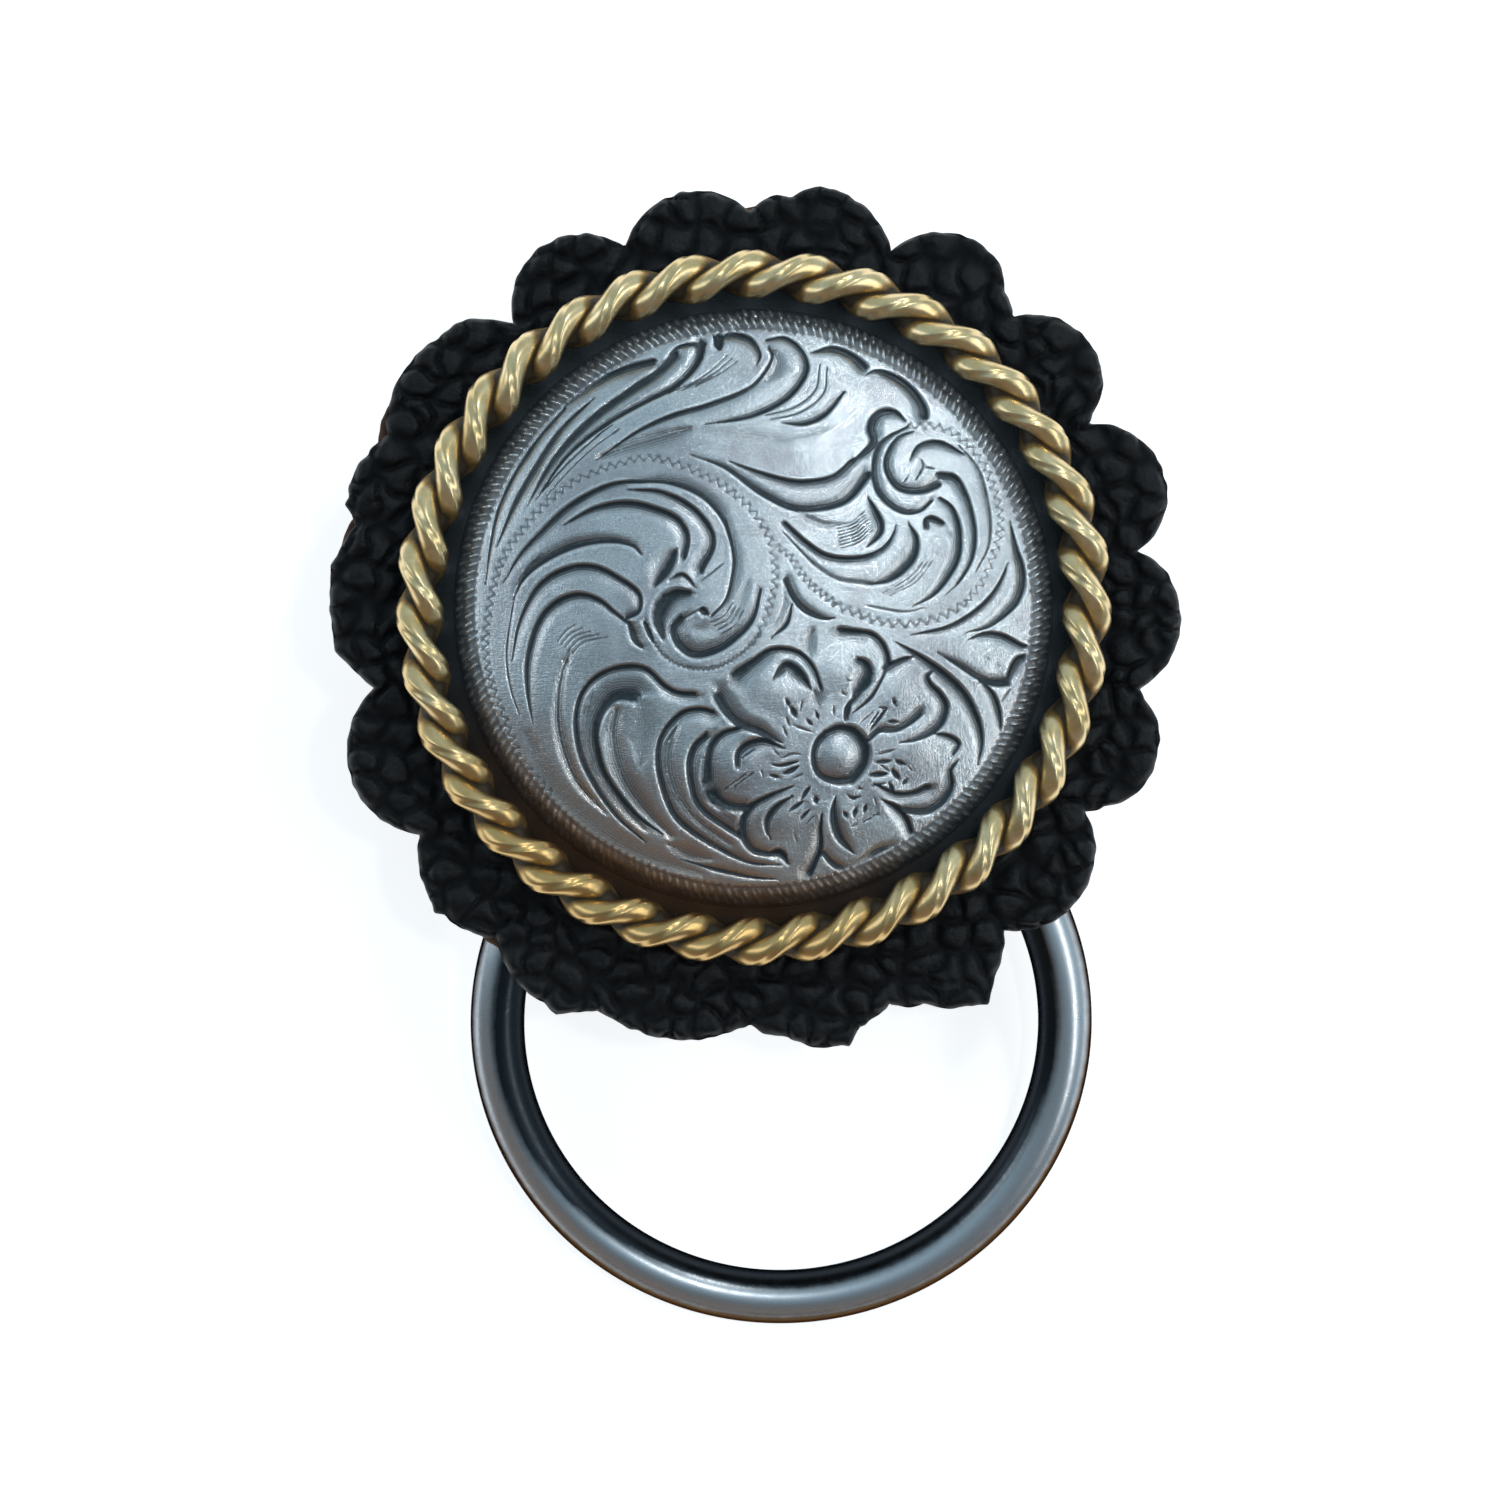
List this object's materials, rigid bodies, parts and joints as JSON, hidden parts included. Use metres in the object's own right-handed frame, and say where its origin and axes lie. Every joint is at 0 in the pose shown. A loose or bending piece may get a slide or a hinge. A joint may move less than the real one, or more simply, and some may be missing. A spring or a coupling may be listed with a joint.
{
  "type": "concho with ring",
  "caption": "Domed round concho with engraved scrolls, a twisted rope edge, a scalloped leather rosette and a ring that swings in a keeper behind it.",
  "frame": {"origin": "on the post's axis, level with the back of the screw head, which the concho lies on", "axes": "+Z along the post's axis, out of the engraved face; -Y from the post to the ring; +X to the right of the face with the ring below"},
  "size_m": [0.0456, 0.0626, 0.0194],
  "materials": {
    "silver": "engraved silver with dark patina in the cuts",
    "rope_brass": "antique brass, dark between the strands",
    "black_leather": "deeply pebbled, soft sheen",
    "brown_leather": "rough cut edge",
    "keeper_leather": "smooth strap",
    "screw_steel": "nickel plated",
    "ring_steel": "polished, lightly worn"
  },
  "bodies": {
    "concho": {"concho_plate": "silver", "rope_border": "rope_brass", "rosette": "black_leather", "rosette_backing": "brown_leather", "ring_keeper": "keeper_leather", "back_screw": "screw_steel"},
    "ring": {"ring": "ring_steel"}
  },
  "joints": [
    {"name": "ring_swing", "type": "hinge", "parent": "concho", "child": "ring", "pos_m": [0, -0.0076, 0.0075], "axis": [1, 0, 0], "range_deg": [-18, 160]}
  ]
}
